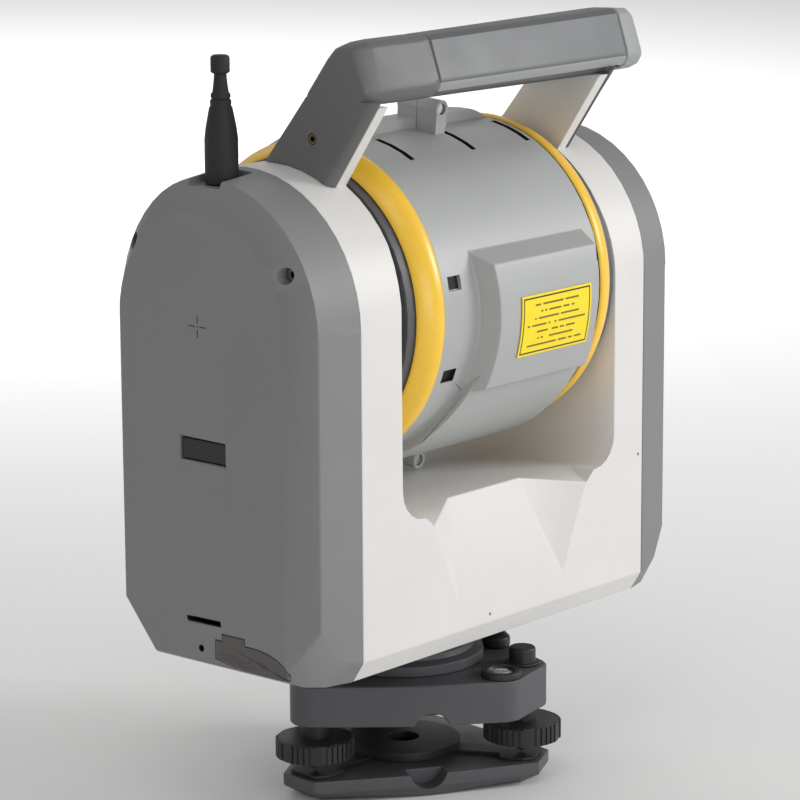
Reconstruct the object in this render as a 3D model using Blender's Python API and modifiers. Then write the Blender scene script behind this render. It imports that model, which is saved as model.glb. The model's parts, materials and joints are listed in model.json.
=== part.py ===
"""A surveying total station on its tribrach, in metres.

+Z is up and the turning axis is the Z axis. X is the telescope's tilting axis. The origin is on the
turning axis, at the underside of the tribrach's base plate. The operator's side faces -Y.
"""

from math import cos, pi, radians, sin, sqrt

import bmesh
import bpy
from mathutils import Matrix, Vector

GAP = 0.0003

# Tribrach
BASE_THICKNESS = 0.012
PLATE_BELOW = 0.0395
PLATE_THICKNESS = 0.0215
SCREW_CIRCLE = 0.0638
SCREW_TURN = radians(175.7)
KNOB_RADIUS = 0.0195
KNOB_HEIGHT = 0.010
KNOB_BELOW = 0.0215
LOBE_RADIUS = 0.0126
THREAD_RADIUS = 0.004
SPINDLE_RADIUS = 0.018
TRIPOD_THREAD_RADIUS = 0.00794
NECK_RADIUS = 0.044
NECK_HEIGHT = 0.0244
CLAMP_PLACE = (0.0445, -0.0265)
CLAMP_RADIUS = 0.0075
BUBBLE_PLACE = (0.003, -0.0635)
BUBBLE_RADIUS = 0.0105

# Telescope
DRUM_RADIUS = 0.0804
DRUM_HALF = 0.0615
DRUM_WALL = 0.0034
RING_RISE = 0.001
RING_WIDTH = 0.0137
NECK_DROP = 0.0064
AXLE_RADIUS = 0.012
LUG_RISE = 0.0115
LUG_RADIUS = 0.0045
LUG_LENGTH = 0.013
LUG_X = 0.008
BOX_RISE = 0.0106
BOX_X = (-0.031, 0.046)
BOX_Z = (-0.0295, 0.0295)
SKIRT_RISE = 0.0055
NOSE_RISE = 0.007
REST_TILT = radians(5)
LENS_RADIUS = 0.0217

# Yoke
BODY_DEPTH = 0.073
SIDE_CLEARANCE = 0.0012
LEFT_LEG = 0.0316
RIGHT_LEG = 0.0266
BASE_HEIGHT = 0.0736
FLOOR_CLEARANCE = 0.0010
FORK_FILLET = 0.016
FORK_FLARE = (0.002, 0.011)
WALL = 0.004
INNER_WALL = 0.0056
CHAMFER = (0.0069, 0.0107)
RECESS_DEPTH = 0.0185

# Side covers
LEFT_COVER = 0.0354
RIGHT_COVER = 0.029
SHOULDER_BEVEL = 0.0074
FACE_DROP = 0.0175
COVER_DRAFT = 0.002
REAR_DRAFT = 0.0145
COVER_WALL = 0.0035
COVER_SCREWS = {"front": (-0.0545, 0.030), "rear": (0.045, 0.0365)}
KEY_SIZE = (0.029, 0.0102)
KEY_PLACE = (-0.0022, -0.0607)
ANTENNA_RADIUS = 0.0081
ANTENNA_LENGTH = 0.0618
BATTERY = (0.038, 0.060, 0.078)

# Handle
GRIP_CLEARANCE = 0.0236
GRIP_HEIGHT = 0.0302
POST_WIDTH = 0.0071
HANDLE_SHELL = 0.0055
GRIP_JOINT = -0.046
GRIP_OVERHANG = 0.0087
CAP_LENGTH = 0.0155
GRIP_SLOPE = 0.0016

# Places that follow from the sizes above
plate_top = PLATE_BELOW + PLATE_THICKNESS
body_bottom = plate_top + NECK_HEIGHT
floor_z = body_bottom + BASE_HEIGHT
lug_centre = DRUM_RADIUS + LUG_RISE
lug_reach = sqrt((lug_centre + LUG_RADIUS) ** 2 + LUG_LENGTH**2)
axis_z = floor_z + lug_reach + FLOOR_CLEARANCE
ring_outer = DRUM_RADIUS + RING_RISE
neck_radius = DRUM_RADIUS - NECK_DROP
fork_half = DRUM_HALF + RING_WIDTH + 0.006 + SIDE_CLEARANCE
left_seam = -(fork_half + LEFT_LEG)
right_seam = fork_half + RIGHT_LEG
left_face = left_seam - LEFT_COVER
right_face = right_seam + RIGHT_COVER
grip_below = axis_z + DRUM_RADIUS + GRIP_CLEARANCE

COLOURS = {
    "silver_paint": ("D9D7D4", 0.42, 0.1),
    "grey_paint": ("74777A", 0.48, 0.1),
    "drum_paint": ("A9ADAF", 0.45, 0.1),
    "yellow_paint": ("E9AE28", 0.4, 0.0),
    "dark_paint": ("47474A", 0.5, 0.1),
    "handle_grey": ("606163", 0.55, 0.0),
    "cap_grey": ("A2A5A7", 0.5, 0.0),
    "black_plastic": ("1E1D1D", 0.5, 0.0),
    "black_rubber": ("2A2829", 0.8, 0.0),
    "steel": ("B8BABC", 0.3, 1.0),
    "brass": ("B89B58", 0.35, 1.0),
    "label_yellow": ("FFE90A", 0.5, 0.0),
    "board_green": ("2F5B3A", 0.6, 0.0),
    "glass": ("8FA3B0", 0.05, 0.0),
}


def clear_scene():
    for obj in list(bpy.data.objects):
        bpy.data.objects.remove(obj, do_unlink=True)


def new_collection(name):
    collection = bpy.data.collections.new(name)
    bpy.context.scene.collection.children.link(collection)
    return collection


def linear(part):
    return part / 12.92 if part <= 0.04045 else ((part + 0.055) / 1.055) ** 2.4


def new_material(name, colour, roughness, metallic):
    material = bpy.data.materials.new(name)
    material.use_nodes = True
    shader = material.node_tree.nodes["Principled BSDF"]
    rgb = [linear(int(colour[i : i + 2], 16) / 255) for i in (0, 2, 4)]
    shader.inputs["Base Color"].default_value = (*rgb, 1)
    shader.inputs["Roughness"].default_value = roughness
    shader.inputs["Metallic"].default_value = metallic
    return material


clear_scene()
parts = new_collection("total_station")
cutters = new_collection("cutters")
materials = {name: new_material(name, *values) for name, values in COLOURS.items()}
TURNS = {"Z": (0, 0, 0), "X": (0, pi / 2, 0), "-X": (0, -pi / 2, 0), "Y": (-pi / 2, 0, 0)}
LAYOUTS = {
    "Z": Matrix.Identity(4),
    "X": Matrix(((0, 0, 1, 0), (1, 0, 0, 0), (0, 1, 0, 0), (0, 0, 0, 1))),
    "Y": Matrix(((1, 0, 0, 0), (0, 0, -1, 0), (0, 1, 0, 0), (0, 0, 0, 1))),
}


def link_mesh(name, bm):
    bmesh.ops.recalc_face_normals(bm, faces=bm.faces)
    mesh = bpy.data.meshes.new(name)
    bm.to_mesh(mesh)
    bm.free()
    obj = bpy.data.objects.new(name, mesh)
    parts.objects.link(obj)
    return obj


def box(name, low, high):
    """A box between two opposite corners."""
    low, high = Vector(low), Vector(high)
    bm = bmesh.new()
    bmesh.ops.create_cube(bm, size=1)
    bmesh.ops.scale(bm, vec=high - low, verts=bm.verts)
    obj = link_mesh(name, bm)
    obj.location = (low + high) / 2
    return obj


def cylinder(name, radius, low, high, axis="Z", at=(0, 0), steps=32):
    """A cylinder from low to high along an axis, at a place in the other two axes."""
    bm = bmesh.new()
    bmesh.ops.create_cone(
        bm, cap_ends=True, segments=steps, radius1=radius, radius2=radius, depth=high - low
    )
    obj = link_mesh(name, bm)
    middle = (low + high) / 2
    obj.location = {
        "X": (middle, at[0], at[1]),
        "Y": (at[0], middle, at[1]),
        "Z": (at[0], at[1], middle),
    }[axis]
    obj.rotation_euler = TURNS[axis]
    return obj


def turned(name, profile, place, axis="Z", steps=48):
    """A turned solid: (radius, height) points that run down the outer side, closed by the axis or a bore."""
    bm = bmesh.new()
    verts = [bm.verts.new((radius, 0, height)) for radius, height in profile]
    for start, end in zip(verts, verts[1:]):
        bm.edges.new((start, end))
    if profile[0][0] > 0:
        bm.edges.new((verts[-1], verts[0]))
    mesh = bpy.data.meshes.new(name)
    bm.to_mesh(mesh)
    bm.free()
    obj = bpy.data.objects.new(name, mesh)
    parts.objects.link(obj)
    screw = obj.modifiers.new("turn", "SCREW")
    screw.steps = screw.render_steps = steps
    screw.use_merge_vertices = True
    screw.merge_threshold = 0.00001
    obj.location = place
    obj.rotation_euler = TURNS[axis]
    return obj


def prism(name, outline, low, high, axis="Z"):
    """An outline in the two other axes, in their order, made thick along one axis."""
    curve = bpy.data.curves.new(name, "CURVE")
    curve.dimensions = "2D"
    curve.fill_mode = "BOTH"
    curve.extrude = (high - low) / 2
    spline = curve.splines.new("POLY")
    spline.points.add(len(outline) - 1)
    for point, (across, up) in zip(spline.points, outline):
        point.co = (across, up, 0, 1)
    spline.use_cyclic_u = True
    flat = bpy.data.objects.new(name + "_outline", curve)
    parts.objects.link(flat)
    graph = bpy.context.evaluated_depsgraph_get()
    mesh = bpy.data.meshes.new_from_object(flat.evaluated_get(graph))
    bpy.data.objects.remove(flat)
    bm = bmesh.new()
    bm.from_mesh(mesh)
    bmesh.ops.remove_doubles(bm, verts=bm.verts, dist=0.000001)
    bmesh.ops.transform(bm, matrix=LAYOUTS[axis], verts=bm.verts)
    obj = link_mesh(name, bm)
    obj.location["XYZ".index(axis)] = (low + high) / 2
    return obj


def hull(name, points):
    """The convex solid around some points."""
    bm = bmesh.new()
    for point in points:
        bm.verts.new(point)
    made = bmesh.ops.convex_hull(bm, input=bm.verts)
    inside = set(made["geom_interior"]) | set(made["geom_unused"])
    loose = [item for item in inside if isinstance(item, bmesh.types.BMVert)]
    bmesh.ops.delete(bm, geom=loose, context="VERTS")
    return link_mesh(name, bm)


def loft(name, stations):
    """A skin through outlines of (y, z) points at stations along X, capped at both ends."""
    bm = bmesh.new()
    loops = [[bm.verts.new((x, y, z)) for y, z in outline] for x, outline in stations]
    for first, second in zip(loops, loops[1:]):
        for i in range(len(first)):
            bm.faces.new((first[i - 1], first[i], second[i], second[i - 1]))
    bm.faces.new(loops[0])
    bm.faces.new(loops[-1])
    return link_mesh(name, bm)


def boolean(target, operation, tools):
    for tool in tools:
        modifier = target.modifiers.new(tool.name, "BOOLEAN")
        modifier.operation = operation
        modifier.object = tool
        tool.parent = target
        tool.matrix_parent_inverse = target.matrix_basis.inverted()
        if tool.name in parts.objects:
            parts.objects.unlink(tool)
            cutters.objects.link(tool)
        tool.hide_render = True
        tool.display_type = "WIRE"


def cut(target, *tools):
    boolean(target, "DIFFERENCE", tools)


def join(target, *tools):
    boolean(target, "UNION", tools)


def keep(target, *tools):
    boolean(target, "INTERSECT", tools)


def bevel(obj, width, segments=1, angle=35):
    modifier = obj.modifiers.new("rounded edges", "BEVEL")
    modifier.width = width
    modifier.segments = segments
    modifier.limit_method = "ANGLE"
    modifier.angle_limit = radians(angle)


def circle_points(radius, centre=(0, 0), count=16):
    angles = [2 * pi * i / count for i in range(count)]
    return [(centre[0] + radius * cos(a), centre[1] + radius * sin(a)) for a in angles]


def at_turn(radius, angle):
    return (radius * cos(angle), radius * sin(angle))


def body_empty(name, place):
    empty = bpy.data.objects.new(name, None)
    empty.location = place
    empty.empty_display_size = 0.02
    parts.objects.link(empty)
    return empty


def part_of(empty, material, *pieces):
    """Gives pieces their material and hangs them on their body's empty, where they are."""
    for piece in pieces:
        piece.data.materials.append(materials[material])
        piece.parent = empty
        piece.matrix_parent_inverse = Matrix.Translation(-empty.location)


screw_angles = {"a": SCREW_TURN, "b": SCREW_TURN + 2 * pi / 3, "c": SCREW_TURN + 4 * pi / 3}
screw_places = {name: at_turn(SCREW_CIRCLE, angle) for name, angle in screw_angles.items()}
notch_turn = SCREW_TURN + pi / 3


def notch_tool(name, height):
    """A cylinder lying across the middle of the side that faces the operator."""
    tool = cylinder(name, 0.010, -0.020, 0.020, "Y")
    tool.location = (*at_turn(0.060, notch_turn), height)
    tool.rotation_euler = (pi / 2, 0, notch_turn - pi / 2)
    return tool


def make_base_plate(body):
    """The trivet: a round middle with three blunt corners, narrower towards its underside."""
    levels = ((0.0, 0.0485, 0.0665, 0.0075), (0.0055, 0.0510, 0.0755, 0.0115))
    points = []
    for z, radius, tip, half in levels + ((BASE_THICKNESS, *levels[1][1:]),):
        points += [(x, y, z) for x, y in circle_points(radius, count=36)]
        for angle in screw_angles.values():
            turn = Matrix.Rotation(angle, 4, "Z")
            points += [turn @ Vector((tip, side * half, z)) for side in (-1, 1)]
    plate = hull("base_plate", points)
    bush_radius = 0.019
    cut(
        plate,
        cylinder("base_bore", bush_radius, -0.01, BASE_THICKNESS + 0.01),
        notch_tool("base_notch", BASE_THICKNESS + 0.002),
    )
    bush = turned(
        "tripod_thread_bush",
        [
            (TRIPOD_THREAD_RADIUS, BASE_THICKNESS),
            (bush_radius - GAP, BASE_THICKNESS),
            (bush_radius - GAP, 0.0005),
            (TRIPOD_THREAD_RADIUS, 0.0005),
        ],
        (0, 0, 0),
        steps=32,
    )
    part_of(body, "dark_paint", plate)
    part_of(body, "brass", bush)


def make_spring_plate(body):
    """The leaf that the three foot screws stand on: a disc with three arms that end in pads."""
    low = BASE_THICKNESS + GAP
    high = low + 0.0015
    plate = cylinder("spring_plate", 0.030, low, low + 0.0047, steps=32)
    for name, angle in screw_angles.items():
        arm = [(0.010, -0.006), (0.053, -0.006), (0.055, -0.0125), (0.067, -0.0125), (0.0725, -0.009)]
        arm += [(r, -across) for r, across in reversed(arm)]
        tool = prism("spring_arm_" + name, arm, low, high)
        tool.rotation_euler = (0, 0, angle)
        join(plate, tool)
    cut(plate, cylinder("spring_bore", TRIPOD_THREAD_RADIUS + 0.0004, 0, 0.03, steps=24))
    part_of(body, "black_plastic", plate)
    return high


def make_upper_plate(body):
    circles = [((0, 0), 0.057, 40), (BUBBLE_PLACE, BUBBLE_RADIUS + 0.001, 16)]
    circles += [(place, LOBE_RADIUS, 16) for place in screw_places.values()]
    points = []
    for centre, radius, count in circles:
        for z in (PLATE_BELOW, plate_top):
            points += [(x, y, z) for x, y in circle_points(radius, centre, count)]
    plate = hull("upper_plate", points)
    bevel(plate, 0.0008, angle=60)
    cut(plate, cylinder("plate_bore", 0.028, PLATE_BELOW - 0.01, plate_top + 0.01, steps=40))
    for name, place in screw_places.items():
        bore = cylinder(
            "screw_bore_" + name, THREAD_RADIUS + GAP, PLATE_BELOW - 0.01, plate_top + 0.01, at=place,
            steps=20
        )
        cut(plate, bore)
    cut(plate, cylinder("bubble_pocket", 0.0078, plate_top - 0.005, plate_top + 0.01, at=BUBBLE_PLACE))
    cut(plate, cylinder("clamp_bore", 0.0043, plate_top - 0.012, plate_top + 0.01, at=CLAMP_PLACE,
        steps=20))
    cut(plate, notch_tool("plate_notch", PLATE_BELOW - 0.0034))
    part_of(body, "dark_paint", plate)


def make_foot_screws(seat):
    """Each levelling screw turns on its own: knob, thread and the foot that it stands on."""
    knob_top = KNOB_BELOW + KNOB_HEIGHT
    for name, place in screw_places.items():
        body = body_empty("foot_screw_" + name + "_axis", (*place, 0))
        profile = [
            (0, plate_top - GAP),
            (THREAD_RADIUS, plate_top - GAP),
            (THREAD_RADIUS, PLATE_BELOW - 0.0005),
            (0.007, PLATE_BELOW - 0.0005),
            (0.007, knob_top),
            (KNOB_RADIUS - 0.001, knob_top),
            (KNOB_RADIUS, knob_top - 0.001),
            (KNOB_RADIUS, KNOB_BELOW + 0.001),
            (KNOB_RADIUS - 0.001, KNOB_BELOW),
            (0.0035, KNOB_BELOW),
            (0.0035, seat + 0.002),
            (0, seat + GAP),
        ]
        screw = turned("foot_screw_" + name, profile, (*place, 0), steps=28)
        part_of(body, "black_plastic", screw)


def make_screw_caps(body):
    for name, place in screw_places.items():
        profile = [(0, 0.009), (0.0062, 0.009), (0.007, 0.0082), (0.007, 0.0015), (0.00925, 0.0013),
            (0.00925, 0), (0, 0)]
        cap = turned("foot_screw_cap_" + name, profile, (*place, plate_top + GAP), steps=20)
        part_of(body, "black_plastic", cap)


def make_bubble(body):
    """The circular level: a ring seated in the plate, with its glass inside."""
    low = plate_top - 0.005 + GAP
    top = plate_top + 0.0035
    ring = [
        (0.0072, top),
        (BUBBLE_RADIUS - 0.0008, top),
        (BUBBLE_RADIUS, top - 0.0008),
        (BUBBLE_RADIUS, plate_top + GAP),
        (0.0078 - GAP, plate_top + GAP),
        (0.0078 - GAP, low),
        (0.0062, low),
        (0.0062, top - 0.002),
    ]
    glass = [(0, top - 0.0003), (0.004, top - 0.0006), (0.0059, top - 0.0014), (0.0059, low), (0, low)]
    part_of(body, "black_plastic", turned("bubble_housing", ring, (*BUBBLE_PLACE, 0), steps=24))
    part_of(body, "glass", turned("bubble_vial", glass, (*BUBBLE_PLACE, 0), steps=20))


def make_clamp():
    """The knob that locks the instrument in the tribrach."""
    body = body_empty("clamp_axis", (*CLAMP_PLACE, 0))
    profile = [
        (0, plate_top + 0.0090),
        (CLAMP_RADIUS * 0.6, plate_top + 0.0082),
        (CLAMP_RADIUS, plate_top + 0.0052),
        (CLAMP_RADIUS, plate_top + GAP),
        (0.004, plate_top + GAP),
        (0.004, plate_top - 0.011),
        (0, plate_top - 0.011),
    ]
    part_of(body, "black_plastic", turned("clamp_knob", profile, (*CLAMP_PLACE, 0), steps=20))


def make_spindle(body):
    """The centring flange that drops into the tribrach, the spindle and the horizontal circle."""
    spigot = plate_top - 0.014
    flange = [
        (SPINDLE_RADIUS + GAP, body_bottom - GAP),
        (NECK_RADIUS, body_bottom - GAP),
        (NECK_RADIUS, body_bottom - 0.002),
        (0.036, plate_top + 0.010),
        (0.037, plate_top + 0.007),
        (0.042, plate_top + 0.0055),
        (0.042, plate_top + GAP),
        (0.028 - GAP, plate_top + GAP),
        (0.028 - GAP, spigot),
        (SPINDLE_RADIUS + GAP, spigot),
    ]
    spindle_top = body_bottom + 0.0455
    spindle = [(0.008, spindle_top), (SPINDLE_RADIUS, spindle_top), (SPINDLE_RADIUS, spigot),
        (0.008, spigot)]
    circle_z = body_bottom + 0.021
    inner = SPINDLE_RADIUS + GAP
    circle = [(inner, circle_z + 0.0015), (0.036, circle_z + 0.0015), (0.036, circle_z), (inner, circle_z)]
    part_of(body, "dark_paint", turned("base_flange", flange, (0, 0, 0), steps=40))
    part_of(body, "steel", turned("vertical_spindle", spindle, (0, 0, 0), steps=32))
    part_of(body, "glass", turned("horizontal_circle", circle, (0, 0, 0), steps=32))


def make_azimuth_drive(body):
    """The bottom plate, the bearing on the spindle and the drive motor that surrounds the circle."""
    low = body_bottom + GAP
    high = low + 0.006
    bearing_outer = 0.026
    plate = box("bottom_plate", (-0.078 + GAP, -0.048 + GAP, low), (0.078 - GAP, 0.048 - GAP, high))
    cut(plate, cylinder("bottom_plate_bore", bearing_outer + GAP, low - 0.01, high + 0.01, steps=36))
    inner = SPINDLE_RADIUS + GAP
    bearing = [(inner, low + 0.012), (bearing_outer, low + 0.012), (bearing_outer, low), (inner, low)]
    rim = high + GAP
    top = body_bottom + 0.040
    motor = [(0.021, top), (0.040, top), (0.040, rim), (0.037, rim), (0.037, top - 0.014),
        (0.021, top - 0.014)]
    part_of(body, "black_plastic", plate)
    part_of(body, "steel", turned("azimuth_bearing", bearing, (0, 0, 0), steps=28))
    part_of(body, "dark_paint", turned("azimuth_motor", motor, (0, 0, 0), steps=32))


def arch(radius, rear, bottom, front_cut, rear_cut):
    """An upright outline: round above the tilting axis, straight below it, with its lower corners cut."""
    turns = [pi * i / 24 for i in range(25)]
    outline = [((rear if a < pi / 2 else radius) * cos(a), axis_z + radius * sin(a)) for a in turns]
    outline += [(-radius, bottom + front_cut[1]), (-radius + front_cut[0], bottom)]
    outline += [(rear - rear_cut[0], bottom), (rear, bottom + rear_cut[1])]
    return outline


def screw_places_on_cover():
    return {where: (y, axis_z + z) for where, (y, z) in COVER_SCREWS.items()}


def fork_outline():
    """The gap between the legs, seen along Y: open at the top, with round lower corners."""
    turns = [pi / 2 * i / 5 for i in range(6)]
    edge = fork_half - FORK_FILLET
    right = [(edge + FORK_FILLET * sin(a), floor_z + FORK_FILLET * (1 - cos(a))) for a in turns]
    left = [(-x, z) for x, z in reversed(right)]
    top = axis_z + BODY_DEPTH + 0.05
    return right + [(fork_half, top), (-fork_half, top)] + left


def fork_flare(name, side):
    """A cutter that slants the fork's edges outwards at one face of the body."""
    wide, deep = FORK_FLARE
    points = []
    for depth, grow in ((BODY_DEPTH - deep, 0), (BODY_DEPTH + 2 * deep, 3 * wide)):
        points += [(x + (grow if x > 0 else -grow), side * depth, z) for x, z in fork_outline()]
    return hull(name, points)


def recess_tools(name, side):
    """The scooped face below the telescope: a sloping middle, a facet at each side and a flared corner."""
    lift = 0.006
    back = (0.028, BODY_DEPTH - RECESS_DEPTH, 0.0)
    corner = (0.066, BODY_DEPTH - 0.0153, 0.0)
    edge = (0.0603, BODY_DEPTH, -0.0056)
    low_side = (0.042, BODY_DEPTH, -0.050)
    low_middle = (0.034, BODY_DEPTH, -0.054)
    flare = (fork_half + FORK_FLARE[0] - 0.0005, BODY_DEPTH, 0.0135)
    raised_back, raised_corner = (back[0], back[1], lift), (corner[0], corner[1], lift)
    inside = [(x - 0.003, y, z) for x, y, z in (back, raised_back, low_middle)]
    facets = {
        "_middle": [(s * x, y, z) for s in (-1, 1) for x, y, z in (back, raised_back, low_middle)],
        "_right": inside + [back, edge, low_side, low_middle],
        "_right_corner": inside[:2] + [back, raised_back, corner, raised_corner, edge, flare],
    }
    for part in ("_right", "_right_corner"):
        facets[part.replace("right", "left")] = [(-x, y, z) for x, y, z in facets[part]]
    tools = []
    for part, points in facets.items():
        ends = [(x, side * depth, floor_z + z) for x, y, z in points for depth in (y, BODY_DEPTH + 0.02)]
        tools.append(hull(name + part, ends))
    return tools


def post_outline(base, top, grow=0.0):
    """A handle post seen along X: it leans towards the operator as it rises."""
    rear = (0.0037, axis_z + 0.074)
    rear_slope = -22.5 / 28
    front = (-0.0365, axis_z + 0.064)
    front_slope = -26 / 38
    points = []
    for z in (base, top):
        points += [rear[0] + grow + (z - rear[1]) * rear_slope,
            front[0] - grow + (z - front[1]) * front_slope]
    return [(points[0], base), (points[2], top), (points[3], top), (points[1], base)]


def make_yoke(body):
    """The U-shaped frame: two hollow legs on a hollow base, with the handle's posts cast on."""
    outline = arch(BODY_DEPTH, BODY_DEPTH, body_bottom, CHAMFER, CHAMFER)
    yoke = prism("yoke", outline, left_seam, right_seam, "X")
    posts = post_outline(axis_z + 0.050, grip_below - GAP)
    join(yoke, prism("left_post", posts, -fork_half - POST_WIDTH, -fork_half, "X"))
    join(yoke, prism("right_post", posts, fork_half, fork_half + POST_WIDTH, "X"))
    cut(yoke, prism("fork_gap", fork_outline(), -BODY_DEPTH - 0.05, BODY_DEPTH + 0.05, "Y"))
    cut(yoke, fork_flare("front_flare", -1), fork_flare("rear_flare", 1))
    cut(yoke, *recess_tools("front_recess", -1), *recess_tools("rear_recess", 1))
    inner = BODY_DEPTH - WALL
    cavity = arch(inner, inner, body_bottom + 0.006, (0.006, 0.008), (0.006, 0.008))
    leg_wall = fork_half + INNER_WALL
    for name, low, high in (
        ("left_cavity", left_seam - 0.002, -leg_wall),
        ("right_cavity", leg_wall, right_seam + 0.002),
    ):
        tool = prism(name, cavity, low, high, "X")
        for side, place in screw_places_on_cover().items():
            cut(tool, cylinder(name + "_boss_" + side, 0.0058, low - 0.01, high + 0.01, "X", place, 16))
        cut(yoke, tool)
    cut(yoke, box("base_cavity", (-0.078, -0.048, body_bottom - 0.01), (0.078, 0.048, floor_z - 0.006)))
    cut(yoke, cylinder("cable_way", 0.008, -leg_wall - 0.01, leg_wall + 0.01, "X",
        (0.03, body_bottom + 0.024), 20))
    span = right_seam + 0.02
    cut(yoke, cylinder("trunnion_bore", AXLE_RADIUS + 0.0083, -span, span, "X", (0, axis_z), 36))
    for side, place in screw_places_on_cover().items():
        cut(yoke, cylinder("left_thread_" + side, 0.0018, left_seam - 0.01, left_seam + 0.010, "X",
            place, 12))
        cut(yoke, cylinder("right_thread_" + side, 0.0018, right_seam - 0.010, right_seam + 0.01, "X",
            place, 12))
    reach = fork_half + POST_WIDTH
    cut(yoke, cylinder("left_post_thread", 0.0018, -reach - 0.01, -reach + 0.005, "X",
        handle_screw_place(), 12))
    cut(yoke, cylinder("right_post_thread", 0.0018, reach - 0.005, reach + 0.01, "X",
        handle_screw_place(), 12))
    part_of(body, "silver_paint", yoke)


def handle_screw_place():
    return (-0.0262, axis_z + 0.0866)


def cover_stations(side, seam, depth, inset):
    """Outlines from the seam out to the flat face: a drafted wall, then a bevel."""
    face = depth - inset
    shoulder = depth - SHOULDER_BEVEL - inset * 0.4
    start = -0.002 if inset else GAP
    rows = (
        (start, 0.0, 0.0, 0.0, CHAMFER, CHAMFER),
        (shoulder * 0.6, COVER_DRAFT * 0.6, REAR_DRAFT * 0.6, 0.0006, (0.0085, 0.015), (0.012, 0.016)),
        (shoulder, COVER_DRAFT, REAR_DRAFT, 0.0024, (0.012, 0.029), (0.020, 0.026)),
        (face, FACE_DROP, FACE_DROP + 0.003, 0.0062, (0.002, 0.004), (0.020, 0.024)),
    )
    return [
        (
            side * (abs(seam) + along),
            arch(BODY_DEPTH - front - inset, BODY_DEPTH - rear - inset, body_bottom + rise + inset,
                cut_front, cut_rear),
        )
        for along, front, rear, rise, cut_front, cut_rear in rows
    ]


def cover_shell(name, side, seam, depth):
    """A hollow side cover, open towards the leg, with bosses for its two screws."""
    cover = loft(name, cover_stations(side, seam, depth, 0))
    hollow = loft(name + "_hollow", cover_stations(side, seam, depth, COVER_WALL))
    seam_gap = abs(seam) + GAP
    boss_end = abs(seam) + depth - 0.006
    for where, place in screw_places_on_cover().items():
        ends = sorted((side * (seam_gap - 0.01), side * (boss_end + 0.02)))
        cut(hollow, cylinder(name + "_boss_" + where, 0.0068, *ends, "X", place, 16))
    cut(cover, hollow)
    for where, place in screw_places_on_cover().items():
        ends = sorted((side * (seam_gap - 0.01), side * (boss_end + 0.02)))
        cut(cover, cylinder(name + "_way_" + where, 0.0019, *ends, "X", place, 12))
        ends = sorted((side * (boss_end - 0.006), side * (boss_end + 0.02)))
        cut(cover, cylinder(name + "_sink_" + where, 0.0040, *ends, "X", place, 20))
    return cover


def make_cover_screws(body, name, side, seam, depth):
    head = depth - 0.006 - 0.006 + GAP
    for where, place in screw_places_on_cover().items():
        profile = [(0, head + 0.003), (0.0036, head + 0.003), (0.0036, head), (0.0016, head),
            (0.0016, -0.009), (0, -0.009)]
        screw = turned(
            "cover_screw_" + name + "_" + where,
            profile,
            (seam, *place),
            axis="X" if side > 0 else "-X",
            steps=16,
        )
        part_of(body, "steel", screw)


def flap_outline(grow=0.0):
    """The rubber flap, seen along X: a pull tab on top and a long curve down to the corner."""
    low = body_bottom + 0.0062
    top = low + 0.0122
    rear, front = -0.0087, -0.0565
    tab = (-0.0133, -0.0277, 0.0035)
    curve = [pi / 2 * i / 6 for i in range(1, 6)]
    width, height = 0.024, 0.0112
    corner = front + width
    outline = [(rear + grow, low + 0.003 - grow), (rear + grow, top + grow), (tab[0] + grow, top + grow)]
    outline += [(tab[0] + grow, top + tab[2] + grow), (tab[1] - grow, top + tab[2] + grow),
        (tab[1] - grow, top + grow)]
    outline += [(corner, top + grow)]
    outline += [(corner - (width + grow) * sin(a), top - height + (height + grow) * cos(a)) for a in curve]
    outline += [(front - grow, top - height), (front - grow, low + 0.0003), (-0.022, low + 0.0003)]
    return outline


def make_port(alidade):
    """The charging and data socket at the left cover's lower corner, under its rubber flap."""
    pocket_floor = left_face + 0.0018
    place = (-0.034, body_bottom + 0.0125)
    socket = turned(
        "port_connector",
        [(0.0028, 0.010), (0.0044, 0.010), (0.0044, 0.0022), (0.006, 0.0022), (0.006, 0), (0.0028, 0)],
        (pocket_floor + 0.0105, *place),
        axis="-X",
        steps=20,
    )
    part_of(alidade, "steel", socket)
    hinge = body_empty("port_flap_axis", (left_face - 0.0005, 0, body_bottom + 0.0065))
    flap = prism("port_flap", flap_outline(), left_face - 0.0005, pocket_floor - GAP, "X")
    part_of(hinge, "black_rubber", flap)


def make_power_key():
    """A wide key in the left cover, held by a lip behind the wall, with a short travel."""
    centre_z = axis_z + KEY_PLACE[1]
    body = body_empty("power_key_axis", (left_face, KEY_PLACE[0], centre_z))
    half_y, half_z = KEY_SIZE[0] / 2, KEY_SIZE[1] / 2
    back = left_face + COVER_WALL + 0.0005
    key = box(
        "power_key",
        (left_face + 0.0008, KEY_PLACE[0] - half_y, centre_z - half_z),
        (back + 0.0008, KEY_PLACE[0] + half_y, centre_z + half_z),
    )
    lip = box(
        "power_key_lip",
        (back, KEY_PLACE[0] - half_y - 0.002, centre_z - half_z - 0.002),
        (back + 0.0014, KEY_PLACE[0] + half_y + 0.002, centre_z + half_z + 0.002),
    )
    join(key, lip)
    part_of(body, "black_plastic", key)


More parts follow.
